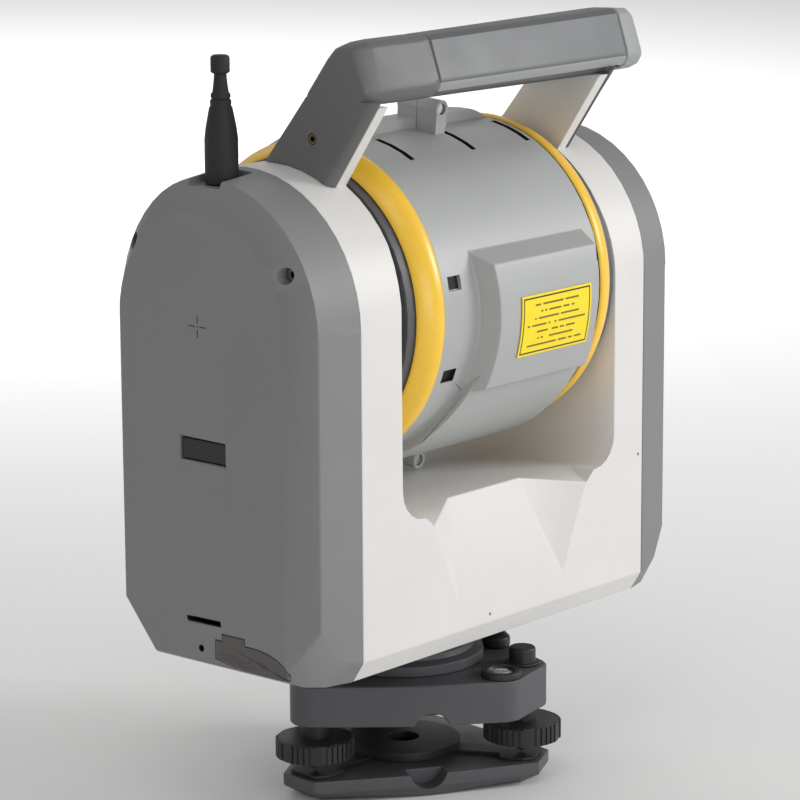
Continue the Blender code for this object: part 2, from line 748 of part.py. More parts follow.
def make_left_cover(body):
    cover = cover_shell("left_cover", -1, left_seam, LEFT_COVER)
    shelf_z = axis_z + 0.0665
    antenna_x = left_seam - 0.0168
    pad = box("antenna_pad", (left_face, -0.012, shelf_z - 0.004),
        (antenna_x + 0.013, 0.012, axis_z + 0.075))
    keep(pad, loft("antenna_pad_limit", cover_stations(-1, left_seam, LEFT_COVER, 0)))
    join(cover, pad)
    cut(cover, box("antenna_shelf", (left_face - 0.01, -0.0105, shelf_z),
        (antenna_x + 0.0105, 0.0105, axis_z + 0.09)))
    cut(cover, cylinder("antenna_bore", 0.0043, shelf_z - 0.02, shelf_z + 0.01, at=(antenna_x, 0),
        steps=20))
    centre_z = axis_z + KEY_PLACE[1]
    half_y, half_z = KEY_SIZE[0] / 2 + 0.0006, KEY_SIZE[1] / 2 + 0.0006
    cut(
        cover,
        box(
            "key_window",
            (left_face - 0.01, KEY_PLACE[0] - half_y, centre_z - half_z),
            (left_face + 0.01, KEY_PLACE[0] + half_y, centre_z + half_z),
        ),
    )
    slot_z = body_bottom + 0.0264
    cut(cover, box("speaker_slot", (left_face - 0.01, -0.0124, slot_z - 0.0013),
        (left_face + 0.01, 0.0104, slot_z + 0.0013)))
    cut(cover, cylinder("strap_hole", 0.0018, left_face - 0.01, left_face + 0.01, "X",
        (0.001, body_bottom + 0.0125), 16))
    cut(cover, prism("port_pocket", flap_outline(0.0004), left_face - 0.01, left_face + 0.0018, "X"))
    cut(cover, cylinder("port_bore", 0.0047, left_face - 0.01, left_face + 0.02, "X",
        (-0.034, body_bottom + 0.0125), 20))
    part_of(body, "grey_paint", cover)
    make_cover_screws(body, "left", -1, left_seam, LEFT_COVER)
    make_antenna(body, antenna_x, shelf_z)


def make_antenna(body, x, shelf_z):
    """The radio antenna: a rubber body that tapers to a thin neck under its cap."""
    scale = ANTENNA_LENGTH / 0.0618
    rows = [(0, 61.8), (3.4, 61.8), (4.6, 60.6), (4.6, 53.6), (3.0, 52.8), (3.0, 51.5), (3.9, 44.0),
        (4.7, 43.0)]
    rows += [(4.7, 41.4), (4.4, 41.0), (5.1, 40.0), (5.1, 38.4), (4.9, 38.0), (5.6, 36.8), (8.1, 22.0)]
    rows += [(8.1, 1.0), (7.4, 0.3), (0, 0.3)]
    ratio = ANTENNA_RADIUS / 0.0081
    profile = [(radius * ratio / 1000, height * scale / 1000) for radius, height in rows]
    part_of(body, "black_rubber", turned("antenna", profile, (x, 0, shelf_z), steps=20))
    socket = [(0, 0), (0.004, 0), (0.004, -0.0043), (0.0062, -0.0043), (0.0062, -0.0075), (0, -0.0075)]
    part_of(body, "brass", turned("antenna_socket", socket, (x, 0, shelf_z), steps=20))


def door_limits():
    half = BATTERY[1] / 2 + 0.004
    low = body_bottom + 0.022
    return half, low, low + BATTERY[2] + 0.010


def make_right_cover(body):
    """The right cover, with the battery's opening in its flat face."""
    cover = cover_shell("right_cover", 1, right_seam, RIGHT_COVER)
    half, low, high = door_limits()
    cut(cover, box("door_window", (right_face - 0.012, -half, low), (right_face + 0.01, half, high)))
    part_of(body, "grey_paint", cover)
    make_cover_screws(body, "right", 1, right_seam, RIGHT_COVER)
    back = right_face - COVER_WALL - 0.003
    pack = box(
        "battery",
        (back - BATTERY[0], -BATTERY[1] / 2, low + 0.004),
        (back, BATTERY[1] / 2, low + 0.004 + BATTERY[2]),
    )
    bevel(pack, 0.003, 2)
    part_of(body, "black_plastic", pack)


def make_battery_door():
    """The door swings down on its lower edge, and a sliding latch holds its upper edge."""
    half, low, high = door_limits()
    clear = 0.0005
    body = body_empty("battery_door_axis", (right_face, 0, low + clear))
    door = box("battery_door", (right_face - 0.003, -half + clear, low + clear),
        (right_face, half - clear, high - clear))
    latch_z = high - 0.012
    cut(door, box("latch_pocket", (right_face - 0.0018, -0.010, latch_z - 0.011),
        (right_face + 0.01, 0.010, latch_z + 0.0055)))
    part_of(body, "grey_paint", door)
    slider = body_empty("battery_latch_axis", (right_face, 0, latch_z))
    slider.parent = body
    slider.matrix_parent_inverse = Matrix.Translation(-body.location)
    latch = box("battery_latch", (right_face - 0.0015, -0.0095, latch_z - 0.004),
        (right_face + 0.0012, 0.0095, latch_z + 0.005))
    part_of(slider, "black_plastic", latch)


def grip_outline(lower=0.0, pull=0.0):
    """The grip's section as (y, z), with its top lowered, and drawn in by pull on the side that leans out."""
    section = (
        (-0.0555, 0.0302), (-0.0585, 0.0280), (-0.0645, 0.0105), (-0.0650, 0.0072), (-0.0625, 0.0028),
        (-0.0575, 0.0),
        (-0.0250, 0.0), (-0.0205, 0.0022), (-0.0215, 0.0052), (-0.0340, 0.0240), (-0.0375, 0.0280),
        (-0.0420, 0.0298),
    )  # fmt: skip
    middle = -0.0435
    share = (GRIP_HEIGHT - lower) / 0.0302
    return [(y + (pull if y < middle else -0.35 * lower), grip_below + z * share) for y, z in section]


def post_shell(name, side):
    """The part of a handle shell that lies on the outside of a post and stands on the leg's round top."""
    inner = fork_half + POST_WIDTH + GAP
    outline = post_outline(axis_z + 0.050, grip_below + 0.0024, 0.0005)
    steps = ((0.0, 0.0), (0.35, 0.0006), (0.75, 0.0022), (1.0, 0.0048))
    stations = [
        (side * (inner + HANDLE_SHELL * out), [(y + (pull if i > 1 else 0), z) for i,
            (y, z) in enumerate(outline)])
        for out, pull in steps
    ]
    return loft(name, stations)


def handle_screw_tools(name, side):
    inner = fork_half + POST_WIDTH
    outer = inner + GAP + HANDLE_SHELL
    way = sorted((side * (inner - 0.01), side * (outer + 0.01)))
    sink = sorted((side * (outer - 0.0026), side * (outer + 0.01)))
    return (
        cylinder(name + "_screw_way", 0.0018, *way, "X", handle_screw_place(), 12),
        cylinder(name + "_screw_sink", 0.0029, *sink, "X", handle_screw_place(), 20),
    )


def make_handle(body):
    """The carrying handle: an end shell, the long grip and a short end cap, on the two posts."""
    outer = fork_half + POST_WIDTH + GAP + HANDLE_SHELL
    leg_top = BODY_DEPTH + GAP
    ends = (
        (0, 0.0058, 0.0058), (0.0012, 0.0036, 0.0048), (0.004, 0.0018, 0.0036), (0.010, 0.0005, 0.0024),
        (0.020, 0, 0.0012),
        (0.032, 0, 0.0004), (0.044, 0, 0),
    )  # fmt: skip
    rows = [(-outer + along, grip_outline(shrink, pull)) for along, shrink, pull in ends]
    shell = loft("handle_left_shell", rows + [(GRIP_JOINT - GAP / 2, grip_outline())])
    join(shell, post_shell("left_post_shell", -1))
    cut(shell, cylinder("left_leg_top", leg_top, -outer - 0.01, -fork_half, "X", (0, axis_z), 96))
    cut(shell, *handle_screw_tools("left", -1))
    part_of(body, "handle_grey", shell)

    grip_end = outer + GRIP_OVERHANG
    ends = ((GRIP_JOINT + GAP / 2, 0), (grip_end - GAP / 2, -GRIP_SLOPE))
    grip = loft("handle_grip", [(x, grip_outline(lower)) for x, lower in ends])
    join(grip, post_shell("right_post_shell", 1))
    cut(grip, cylinder("right_leg_top", leg_top, fork_half, outer + 0.01, "X", (0, axis_z), 96))
    cut(grip, *handle_screw_tools("right", 1))
    part_of(body, "handle_grey", grip)

    end = grip_end + CAP_LENGTH
    ends = ((grip_end + GAP / 2, 0.0), (end - 0.005, 0.0008), (end - 0.0015, 0.0026), (end, 0.005))
    cap = loft("handle_end_cap", [(x, grip_outline(inset - GRIP_SLOPE, inset * 0.6)) for x, inset in ends])
    part_of(body, "cap_grey", cap)

    for name, side in (("left", -1), ("right", 1)):
        profile = [(0, 0), (0.0025, 0), (0.0025, -0.0022), (0.0015, -0.0022), (0.0015, -0.0085),
            (0, -0.0085)]
        axis = "X" if side > 0 else "-X"
        screw = turned("handle_screw_" + name, profile, (side * (outer - 0.0002),
            *handle_screw_place()), axis, 16)
        part_of(body, "steel", screw)


def make_trunnion_bearings(alidade):
    """A flanged bearing in each leg, and the tilt drive's stator in the right leg."""
    inner = AXLE_RADIUS + GAP
    outer = AXLE_RADIUS + 0.008
    back = INNER_WALL + GAP
    profile = [(inner, back + 0.0025), (outer + 0.006, back + 0.0025), (outer + 0.006, back),
        (outer, back), (outer, 0), (inner, 0)]
    for name, side in (("left", -1), ("right", 1)):
        axis = "X" if side > 0 else "-X"
        bearing = turned("trunnion_bearing_" + name, profile, (side * fork_half, 0, axis_z), axis, 24)
        part_of(alidade, "steel", bearing)
    low = back + 0.0025 + GAP
    high = RIGHT_LEG - 0.005
    bore = AXLE_RADIUS + 0.0012
    stator = [(bore, high), (0.033, high), (0.033, low), (bore, low)]
    part_of(alidade, "dark_paint", turned("tilt_motor", stator, (fork_half, 0, axis_z), "X", 24))


def make_main_board(body):
    low = body_bottom + 0.024
    x = left_seam + 0.008
    board = box("main_board", (x, -0.035, low), (x + 0.0016, 0.035, low + 0.088))
    part_of(body, "board_green", board)


def lug_tools(name, side, level):
    """A screw boss along Y at the split, with the web that ties it to the drum."""
    z = axis_z + level * lug_centre
    ends = sorted((side * GAP / 2, side * LUG_LENGTH))
    boss = cylinder(name + "_boss", LUG_RADIUS, *ends, "Y", (LUG_X, z), 20)
    foot = axis_z + level * (DRUM_RADIUS - DRUM_WALL - 0.0012)
    heights = sorted((foot, z))
    web = box(name + "_web", (LUG_X - 0.0040, ends[0] + 0.0001, heights[0]),
        (LUG_X + 0.0040, ends[1] - 0.0001, heights[1]))
    return boss, web


def box_hump(name):
    """The housing on the rear of the drum: a tapered block whose face follows a larger cylinder."""
    outer, inner = -DRUM_RADIUS - BOX_RISE - 0.005, -DRUM_RADIUS + 0.012
    points = []
    for y, grow in ((outer, -0.0015), (inner, 0.0075)):
        for x, sx in zip(BOX_X, (-1, 1)):
            for z, sz in zip(BOX_Z, (-1, 1)):
                points.append((min(x + sx * grow, DRUM_HALF - 0.0012), y, axis_z + z + sz * grow))
    hump = hull(name, points)
    keep(hump, cylinder(name + "_limit", DRUM_RADIUS + BOX_RISE, -DRUM_HALF, DRUM_HALF, "X",
        (0, axis_z), 80))
    return hump


def skirt(name, side):
    """The raised skin that fans out from the housing: all of the front, and below at the rear."""
    rise = DRUM_RADIUS + SKIRT_RISE
    narrow, wide = (-0.048, 0.048), (-0.062, 0.062)
    if side > 0:
        levels = ((0.0, -0.1, wide), (0.0, 0.1, wide), (0.12, -0.1, narrow), (0.12, 0.1, narrow))
    else:
        narrow = (BOX_X[0] - 0.003, BOX_X[1] + 0.003)
        levels = ((-0.12, -0.024, narrow), (0.0, -0.024, narrow), (-0.12, -0.1, wide), (0.0, -0.1, wide))
    points = [(x, y, axis_z + z) for y, z, ends in levels for x in ends]
    piece = hull(name, points)
    edge, full = 0.0606, 0.048
    profile = [(0, edge), (DRUM_RADIUS - 0.0002, edge), (rise - 0.0012, full + 0.004), (rise, full)]
    profile += [(radius, -x) for radius, x in reversed(profile)]
    keep(piece, turned(name + "_limit", profile, (0, 0, axis_z), "X", 64))
    return piece


def drum_surface(side):
    return DRUM_RADIUS + (SKIRT_RISE if side > 0 else 0)


def drum_slot(name, x, side):
    """A shallow groove round the drum, on one side of its top."""
    angle = radians(14)
    tool = box(name, (x - 0.00175, -0.0125, 0), (x + 0.00175, 0.0125, 0.01))
    reach = drum_surface(side) - 0.0024
    tool.location = (x, side * reach * sin(angle), axis_z + reach * cos(angle))
    tool.rotation_euler = (-side * angle, 0, 0)
    return tool


def drum_window(name, x, side, level):
    """A rectangular pocket in the drum, above or below the middle of its rear."""
    angle = side * level * radians(16.8)
    tool = box(name, (x - 0.0048, -0.005, -0.0036), (x + 0.0048, 0.005, 0.0036))
    reach = side * (drum_surface(side) - 0.0022 + 0.005)
    tool.location = (x, reach * cos(angle), axis_z + reach * sin(angle))
    tool.rotation_euler = (angle, 0, 0)
    return tool


def make_drum(name, side):
    shell = cylinder(name, DRUM_RADIUS, -DRUM_HALF, DRUM_HALF, "X", (0, axis_z), 60)
    join(shell, skirt(name + "_skirt", side))
    if side < 0:
        join(shell, box_hump(name + "_hump"))
    else:
        nose = box(name + "_nose", (-0.045, DRUM_RADIUS - 0.020, axis_z - 0.036),
            (0.045, DRUM_RADIUS + NOSE_RISE, axis_z + 0.036))
        bevel(nose, 0.004, 2)
        join(shell, nose)
    inner = DRUM_RADIUS - DRUM_WALL
    cut(shell, cylinder(name + "_hollow", inner, -DRUM_HALF - 0.01, DRUM_HALF + 0.01, "X", (0, axis_z), 60))
    split = sorted((side * GAP / 2, -side * 0.12))
    cut(shell, box(name + "_split", (-0.12, split[0], axis_z - 0.12), (0.12, split[1], axis_z + 0.12)))
    for where, level in (("top", 1), ("bottom", -1)):
        z = axis_z + level * lug_centre
        join(shell, *lug_tools(name + "_lug_" + where, side, level))
        ends = sorted((-side * 0.01, side * (LUG_LENGTH + 0.01)))
        cut(shell, cylinder(name + "_lug_way_" + where, 0.0018, *ends, "Y", (LUG_X, z), 16))
        if side < 0:
            sink = cylinder(name + "_lug_sink_" + where, 0.0030, -LUG_LENGTH - 0.01,
                -LUG_LENGTH + 0.0036, "Y", (LUG_X, z), 20)
            cut(shell, sink)
    for i, x in enumerate((-0.0345, 0.013, 0.0565)):
        cut(shell, drum_slot(f"{name}_slot_{i}", x, side))
    for i, x in enumerate((-0.052, 0.0565)):
        for level in (-1, 1):
            cut(shell, drum_window(f"{name}_window_{i}_{level}", x, side, level))
    return shell


def make_telescope(body):
    rear = make_drum("telescope_rear_shell", -1)
    front = make_drum("telescope_front_shell", 1)
    front_y = DRUM_RADIUS + NOSE_RISE
    cut(front, cylinder("lens_opening", LENS_RADIUS + 0.0056, 0.05, front_y + 0.02, "Y", (0, axis_z), 40))
    cut(front, cylinder("camera_opening", 0.0065, 0.05, front_y + 0.02, "Y", (0.0365, axis_z), 24))
    part_of(body, "drum_paint", rear, front)
    part_of(body, "glass", cylinder("camera_window", 0.0062, front_y - 0.0045, front_y - 0.001, "Y",
        (0.0365, axis_z), 24))

    for name, side in (("left", -1), ("right", 1)):
        axis = "X" if side > 0 else "-X"
        start = DRUM_HALF + GAP
        inner = neck_radius + GAP
        ring = [
            (inner, RING_WIDTH), (inner + 0.0025, RING_WIDTH), (ring_outer - 0.0010, 0.0080),
            (ring_outer, 0.0035),
            (ring_outer - 0.0010, 0), (inner, 0),
        ]  # fmt: skip
        part_of(body, "yellow_paint", turned("ring_" + name, ring, (side * start, 0, axis_z), axis, 56))
        face = fork_half - SIDE_CLEARANCE
        hub = AXLE_RADIUS + GAP
        seat = DRUM_RADIUS - DRUM_WALL - GAP
        flange = [
            (hub, face), (neck_radius, face), (neck_radius, DRUM_HALF - 0.0001), (seat, DRUM_HALF - 0.0003),
            (seat, DRUM_HALF - 0.0045), (neck_radius - 0.004, DRUM_HALF - 0.0045),
            (neck_radius - 0.004, face - 0.005),
            (hub, face - 0.005),
        ]  # fmt: skip
        part_of(body, "dark_paint", turned("end_flange_" + name, flange, (0, 0, axis_z), axis, 44))
        collar = face - 0.005 - GAP
        end = fork_half + RIGHT_LEG - 0.005
        axle = [
            (0.007, end), (AXLE_RADIUS, end), (AXLE_RADIUS, collar), (0.018, collar),
            (0.018, collar - 0.006),
            (0.007, collar - 0.006),
        ]  # fmt: skip
        part_of(body, "steel", turned("trunnion_axle_" + name, axle, (0, 0, axis_z), axis, 24))

    low = INNER_WALL + 0.0055
    circle = [(AXLE_RADIUS + GAP, low + 0.0015), (0.034, low + 0.0015), (0.034, low),
        (AXLE_RADIUS + GAP, low)]
    part_of(body, "glass", turned("vertical_circle", circle, (-fork_half, 0, axis_z), "-X", 28))


def make_optics(body):
    """The measuring unit inside the drum, its lens barrel and the objective."""
    half = 0.038
    back, front = -0.045, 0.038
    unit = box("measuring_unit", (-0.042, back, axis_z - half), (0.042, front, axis_z + half))
    bevel(unit, 0.004, 2)
    part_of(body, "dark_paint", unit)
    tip = DRUM_RADIUS + NOSE_RISE - 0.0012
    wall = LENS_RADIUS + GAP
    start = front + GAP
    barrel = [
        (LENS_RADIUS + 0.002, tip), (LENS_RADIUS + 0.0053, tip), (LENS_RADIUS + 0.0053, start),
        (LENS_RADIUS - 0.002, start),
        (LENS_RADIUS - 0.002, tip - 0.010), (wall, tip - 0.0095), (wall, tip - 0.003),
    ]  # fmt: skip
    part_of(body, "black_plastic", turned("lens_barrel", barrel, (0, 0, axis_z), "Y", 32))
    lens = [(0, tip - 0.0030), (0.012, tip - 0.0037), (LENS_RADIUS, tip - 0.0055),
        (LENS_RADIUS, tip - 0.0090), (0, tip - 0.0090)]
    part_of(body, "glass", turned("objective_lens", lens, (0, 0, axis_z), "Y", 32))


def make_label(body):
    """A thin curved plate on the rear housing."""
    radius = DRUM_RADIUS + BOX_RISE + GAP
    plate = cylinder("warning_label", radius + 0.0004, -0.0155, 0.0397, "X", (0, axis_z), 120)
    cut(plate, cylinder("label_back", radius, -0.02, 0.045, "X", (0, axis_z), 120))
    keep(plate, box("label_edge", (-0.0155, -0.12, axis_z - 0.0172), (0.0397, -0.05, axis_z + 0.0136)))
    part_of(body, "label_yellow", plate)


def make_lug_screws(body):
    for name, level in (("top", 1), ("bottom", -1)):
        profile = [(0, 0), (0.0027, 0), (0.0027, -0.0021), (0.0015, -0.0021), (0.0015, -0.0240),
            (0, -0.0240)]
        head_y = -LUG_LENGTH + 0.0012
        screw = turned("lug_screw_" + name, profile, (LUG_X, head_y, axis_z + level * lug_centre), "Y", 16)
        screw.rotation_euler = (pi / 2, 0, 0)
        part_of(body, "steel", screw)


tribrach = body_empty("tribrach_body", (0, 0, 0))
make_base_plate(tribrach)
spring_top = make_spring_plate(tribrach)
make_upper_plate(tribrach)
make_foot_screws(spring_top)
make_screw_caps(tribrach)
make_bubble(tribrach)
make_clamp()
make_spindle(tribrach)

alidade = body_empty("azimuth_axis", (0, 0, body_bottom))
make_azimuth_drive(alidade)
make_yoke(alidade)
make_left_cover(alidade)
make_right_cover(alidade)
make_battery_door()
make_port(alidade)
make_power_key()
make_handle(alidade)
make_trunnion_bearings(alidade)
make_main_board(alidade)

telescope = body_empty("tilt_axis", (0, 0, axis_z))
make_telescope(telescope)
make_optics(telescope)
make_label(telescope)
make_lug_screws(telescope)
telescope.rotation_euler = (REST_TILT, 0, 0)
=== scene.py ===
import json
from math import atan2, pi, radians, sin

import bmesh
import bpy
from mathutils import Matrix, Vector


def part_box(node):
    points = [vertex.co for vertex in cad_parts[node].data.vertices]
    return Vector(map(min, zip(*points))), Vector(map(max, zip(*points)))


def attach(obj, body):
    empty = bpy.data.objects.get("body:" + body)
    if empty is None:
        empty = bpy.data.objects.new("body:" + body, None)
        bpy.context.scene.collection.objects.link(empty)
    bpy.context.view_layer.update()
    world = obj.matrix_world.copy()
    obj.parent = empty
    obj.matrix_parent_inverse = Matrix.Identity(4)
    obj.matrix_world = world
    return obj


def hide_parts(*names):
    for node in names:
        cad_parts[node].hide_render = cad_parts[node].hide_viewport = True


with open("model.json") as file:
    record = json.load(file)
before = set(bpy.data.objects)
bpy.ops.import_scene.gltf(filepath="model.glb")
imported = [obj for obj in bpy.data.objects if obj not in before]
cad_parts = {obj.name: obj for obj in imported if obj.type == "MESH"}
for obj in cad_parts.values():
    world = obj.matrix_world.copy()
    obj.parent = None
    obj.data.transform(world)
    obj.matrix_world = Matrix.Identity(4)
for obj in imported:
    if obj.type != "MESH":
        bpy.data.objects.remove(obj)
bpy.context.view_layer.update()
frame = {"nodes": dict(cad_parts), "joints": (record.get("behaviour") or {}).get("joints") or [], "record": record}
nodes = frame["nodes"]
bodyOf = {node: body for body, members in frame["record"]["behaviour"]["bodies"].items() for node in members}
axisZ = next(joint["pos_m"][2] for joint in frame["joints"] if joint["name"] == "telescope_tilt")
print("frame loaded:", len(nodes), "nodes")


# small helpers
def linearColour(hexValue):
    parts = [int(hexValue[i : i + 2], 16) / 255 for i in (0, 2, 4)]
    return [p / 12.92 if p <= 0.04045 else ((p + 0.055) / 1.055) ** 2.4 for p in parts] + [1]


def addNode(tree, kind, settings=None, links=None):
    # settings are properties or input values, links are {input: output socket}
    node = tree.nodes.new(kind)
    for name, value in (settings or {}).items():
        if isinstance(name, str) and hasattr(node, name):
            setattr(node, name, value)
        else:
            node.inputs[name].default_value = value
    for name, socket in (links or {}).items():
        tree.links.new(socket, node.inputs[name])
    return node


def selectOnly(*objects):
    bpy.ops.object.select_all(action="DESELECT")
    for obj in objects:
        obj.select_set(True)
    bpy.context.view_layer.objects.active = objects[0]


def applyPlace(obj):
    selectOnly(obj)
    bpy.ops.object.transform_apply(location=True, rotation=True, scale=True)


def finishPiece(obj, name, body, material, replaced=()):
    obj.name = name
    applyPlace(obj)
    obj.data.materials.clear()
    obj.data.materials.append(material)
    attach(obj, body)
    if replaced:
        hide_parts(*replaced)
    return obj


def applyModifier(obj, kind, **settings):
    selectOnly(obj)
    modifier = obj.modifiers.new(kind.lower(), kind)
    for name, value in settings.items():
        setattr(modifier, name, value)
    bpy.ops.object.modifier_apply(modifier=modifier.name)


def smoothBy(obj, degrees):
    selectOnly(obj)
    bpy.ops.object.shade_smooth_by_angle(angle=radians(degrees))


# materials
def baseMaterial(name):
    material = bpy.data.materials.new(name)
    material.use_nodes = True
    tree = material.node_tree
    return material, tree, tree.nodes["Principled BSDF"]


def paintedSurface(name, colour, look):
    # look: tone (share of light and dark drift), grain in mm, bump in mm, rough, roughDrift, metallic, coat
    material, tree, shader = baseMaterial(name)
    place = addNode(tree, "ShaderNodeTexCoord").outputs["Object"]
    drift = addNode(tree, "ShaderNodeTexNoise",
        {"Scale": 1000 / look.get("driftSize", 45), "Detail": 3.0, "Roughness": 0.55}, {"Vector": place})
    grain = addNode(tree, "ShaderNodeTexNoise",
        {"Scale": 1000 / look["grain"], "Detail": 2.0, "Roughness": 0.6}, {"Vector": place})
    rgb = linearColour(colour)
    tone = look["tone"]
    ramp = addNode(tree, "ShaderNodeValToRGB", {}, {"Fac": drift.outputs["Fac"]})
    ramp.color_ramp.elements[0].position = 0.3
    ramp.color_ramp.elements[1].position = 0.7
    ramp.color_ramp.elements[0].color = [c * (1 - tone) for c in rgb[:3]] + [1]
    ramp.color_ramp.elements[1].color = [min(1, c * (1 + tone)) for c in rgb[:3]] + [1]
    fleck = addNode(tree, "ShaderNodeMapRange",
        {"From Min": 0.35, "From Max": 0.65, "To Min": 1 - look.get("fleck", 0.03),
        "To Max": 1 + look.get("fleck", 0.03)}, {"Value": grain.outputs["Fac"]})
    mixed = addNode(tree, "ShaderNodeVectorMath", {"operation": "SCALE"},
        {0: ramp.outputs["Color"], "Scale": fleck.outputs["Result"]})
    tree.links.new(mixed.outputs["Vector"], shader.inputs["Base Color"])
    rough = addNode(
        tree,
        "ShaderNodeMapRange",
        {"From Min": 0.3, "From Max": 0.7, "To Min": look["rough"] - look["roughDrift"],
            "To Max": look["rough"] + look["roughDrift"]},
        {"Value": drift.outputs["Fac"]},
    )
    tree.links.new(rough.outputs["Result"], shader.inputs["Roughness"])
    bump = addNode(tree, "ShaderNodeBump",
        {"Strength": look.get("strength", 0.35), "Distance": look["bump"] / 1000},
        {"Height": grain.outputs["Fac"]})
    tree.links.new(bump.outputs["Normal"], shader.inputs["Normal"])
    shader.inputs["Metallic"].default_value = look.get("metallic", 0.0)
    shader.inputs["Coat Weight"].default_value = look.get("coat", 0.0)
    shader.inputs["Coat Roughness"].default_value = 0.25
    return material


texturedPaint = {"tone": 0.02, "grain": 0.7, "bump": 0.05, "rough": 0.46, "roughDrift": 0.04, "fleck": 0.02}
mouldedAbs = {"tone": 0.025, "grain": 0.6, "bump": 0.06, "rough": 0.5, "roughDrift": 0.05, "fleck": 0.035}

materials = {
    # powder-coated die cast magnesium: an even light grey with a fine eggshell grain
    "silverPowderCoat": paintedSurface("silverPowderCoat", "E2E0DE", texturedPaint),
    # painted ABS covers: mid grey with a spark-eroded grain that breaks up the sheen
    "greyAbsCover": paintedSurface("greyAbsCover", "828383", mouldedAbs),
    # sprayed drum: a cooler, slightly smoother grey than the covers
    "drumPaint": paintedSurface("drumPaint", "AEB0AF", dict(texturedPaint, rough=0.42)),
    # moulded yellow polycarbonate: saturated, with a soft gloss
    "yellowPolycarbonate": paintedSurface("yellowPolycarbonate", "FFCB3C",
        {"tone": 0.03, "grain": 1.5, "bump": 0.02, "rough": 0.32, "roughDrift": 0.04, "coat": 0.25}),
    # anodised and painted castings of the tribrach: near black with a dry grain
    "darkCasting": paintedSurface("darkCasting", "56565A",
        {"tone": 0.05, "grain": 0.8, "bump": 0.08, "rough": 0.5, "roughDrift": 0.07, "fleck": 0.05,
        "metallic": 0.15}),
    # the handle's moulded ABS in three greys, the grip the sleekest
    "handleAbs": paintedSurface("handleAbs", "6A6A6A", dict(mouldedAbs, rough=0.48)),
    "gripAbs": paintedSurface("gripAbs", "5D5F61", dict(mouldedAbs, rough=0.42, grain=0.8)),
    "capAbs": paintedSurface("capAbs", "999B9C", mouldedAbs),
    # glass-filled nylon knobs and keys: black, with a faint mottle
    "blackNylon": paintedSurface("blackNylon", "262526",
        {"tone": 0.08, "grain": 0.9, "bump": 0.07, "rough": 0.44, "roughDrift": 0.07, "fleck": 0.08}),
    # rubber over the antenna and the port: matt, and it swallows highlights
    "blackRubber": paintedSurface("blackRubber", "222121",
        {"tone": 0.1, "grain": 0.5, "bump": 0.05, "rough": 0.62, "roughDrift": 0.06, "fleck": 0.08}),
    "flapRubber": paintedSurface("flapRubber", "5E5959",
        {"tone": 0.05, "grain": 0.5, "bump": 0.05, "rough": 0.6, "roughDrift": 0.05, "fleck": 0.05}),
    # unlit recesses, sockets and engraved strokes
    "shadowBlack": paintedSurface("shadowBlack", "121214",
        {"tone": 0.1, "grain": 0.6, "bump": 0.05, "rough": 0.7, "roughDrift": 0.05}),
    # turned metals: bright, with fine uneven tool marks
    "turnedSteel": paintedSurface("turnedSteel", "B9BBBD",
        {"tone": 0.05, "grain": 0.4, "bump": 0.03, "rough": 0.28, "roughDrift": 0.06, "metallic": 1.0}),
    "bronzeScrew": paintedSurface("bronzeScrew", "A58D6D",
        {"tone": 0.08, "grain": 0.4, "bump": 0.03, "rough": 0.33, "roughDrift": 0.08, "metallic": 1.0}),
    "brass": paintedSurface("brass", "B89B58",
        {"tone": 0.06, "grain": 0.5, "bump": 0.03, "rough": 0.3, "roughDrift": 0.06, "metallic": 1.0}),
    # solder mask, and the studio's matt paper sweep
    "boardGreen": paintedSurface("boardGreen", "2F5B3A",
        {"tone": 0.06, "grain": 1.2, "bump": 0.05, "rough": 0.5, "roughDrift": 0.05}),
    "studioFloor": paintedSurface("studioFloor", "F1F1F1",
        {"tone": 0.004, "grain": 3.0, "bump": 0.02, "rough": 0.85, "roughDrift": 0.03, "driftSize": 400,
        "fleck": 0.004}),
}
print("materials made:", len(materials))


def glassMaterial(name, colour, look):
    material, tree, shader = baseMaterial(name)
    place = addNode(tree, "ShaderNodeTexCoord").outputs["Object"]
    smear = addNode(tree, "ShaderNodeTexNoise", {"Scale": 60.0, "Detail": 3.0}, {"Vector": place})
    rough = addNode(tree, "ShaderNodeMapRange", {"To Min": look["rough"], "To Max": look["rough"] + 0.05},
        {"Value": smear.outputs["Fac"]})
    tree.links.new(rough.outputs["Result"], shader.inputs["Roughness"])
    shader.inputs["Base Color"].default_value = linearColour(colour)
    shader.inputs["IOR"].default_value = 1.5
    shader.inputs["Transmission Weight"].default_value = look["clear"]
    shader.inputs["Coat Weight"].default_value = 1.0
    shader.inputs["Coat Tint"].default_value = linearColour(look["coatTint"])
    return material


# multi-coated optical glass: dark, with a violet-green reflex
materials["coatedLens"] = glassMaterial("coatedLens", "232A3A",
    {"rough": 0.03, "clear": 0.25, "coatTint": "B7A6E8"})
# the level's acrylic vial: clear and pale
materials["levelVial"] = glassMaterial("levelVial", "D5DBD2",
    {"rough": 0.05, "clear": 0.55, "coatTint": "FFFFFF"})
materials["circleGlass"] = glassMaterial("circleGlass", "A9BAC4",
    {"rough": 0.05, "clear": 0.7, "coatTint": "E8F0FF"})

labelFace = {"width": 55.2, "height": 31.0, "border": (1.1, 1.9), "rows": 9, "yellow": "FFE312",
    "ink": "2A2410"}


def labelFrame():
    # the foil's lower left corner, and its width and height as vectors, read from the CAD solid
    points = [nodes["warning_label"].matrix_world @ vertex.co for vertex in nodes["warning_label"].data.vertices]
    low, high = min(p.x for p in points), max(p.x for p in points)
    bottom, top = min(points, key=lambda p: p.z), max(points, key=lambda p: p.z)
    corner = Vector((low, bottom.y, bottom.z))
    return corner, Vector((high - low, 0, 0)), Vector((0, top.y - bottom.y, top.z - bottom.z))


